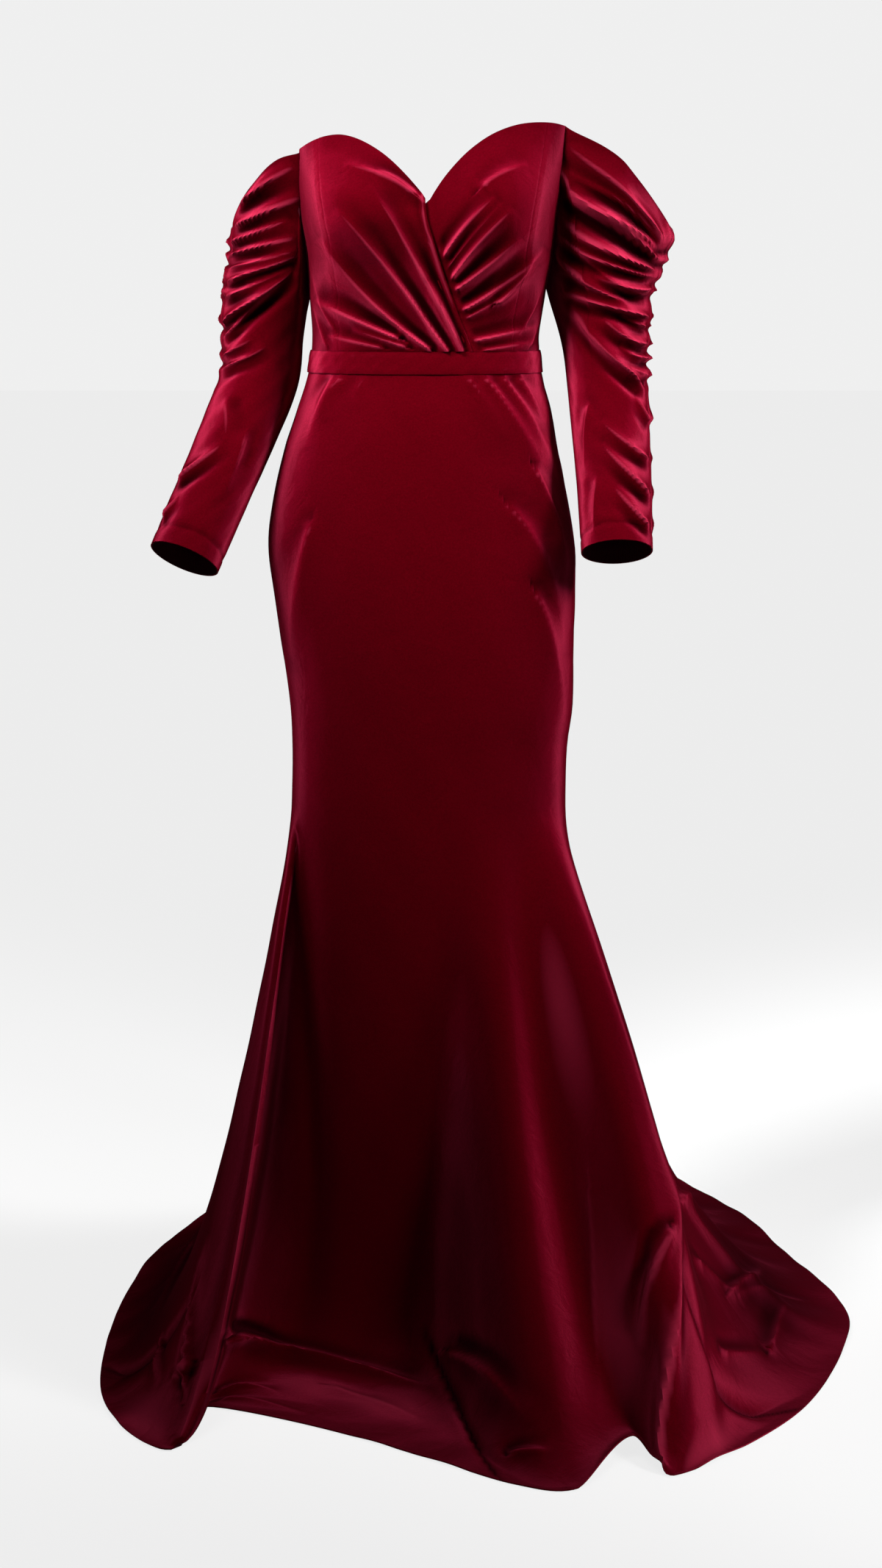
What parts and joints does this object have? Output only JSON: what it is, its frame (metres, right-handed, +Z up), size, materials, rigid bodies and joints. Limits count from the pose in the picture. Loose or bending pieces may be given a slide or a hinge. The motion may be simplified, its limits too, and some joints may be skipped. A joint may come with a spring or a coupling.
{
  "type": "mermaid gown",
  "caption": "Off-shoulder velvet mermaid gown with a sweetheart wrap bodice, gathered long sleeves, a waistband and a flared skirt with a floor train, in its worn pose.",
  "frame": {"origin": "centre of the waist, halfway up the waistband, where the wearer carries the gown", "axes": "+Z up along the wearer, +X towards the wearer's left, -Y towards the front; the train runs out towards +Y"},
  "size_m": [0.8811, 1.3518, 1.4012],
  "materials": {
    "velvet": "velvet pile"
  },
  "bodies": {
    "root": {"bodice_over_front": "velvet", "bodice_under_front": "velvet", "bodice_side_left": "velvet", "bodice_side_right": "velvet", "bodice_back_left": "velvet", "bodice_back_right": "velvet", "waistband_front": "velvet", "waistband_back_left": "velvet", "waistband_back_right": "velvet", "skirt_front": "velvet", "skirt_back_left": "velvet", "skirt_back_right": "velvet", "sleeve_front_left": "velvet", "sleeve_back_left": "velvet", "sleeve_front_right": "velvet", "sleeve_back_right": "velvet"}
  },
  "joints": []
}
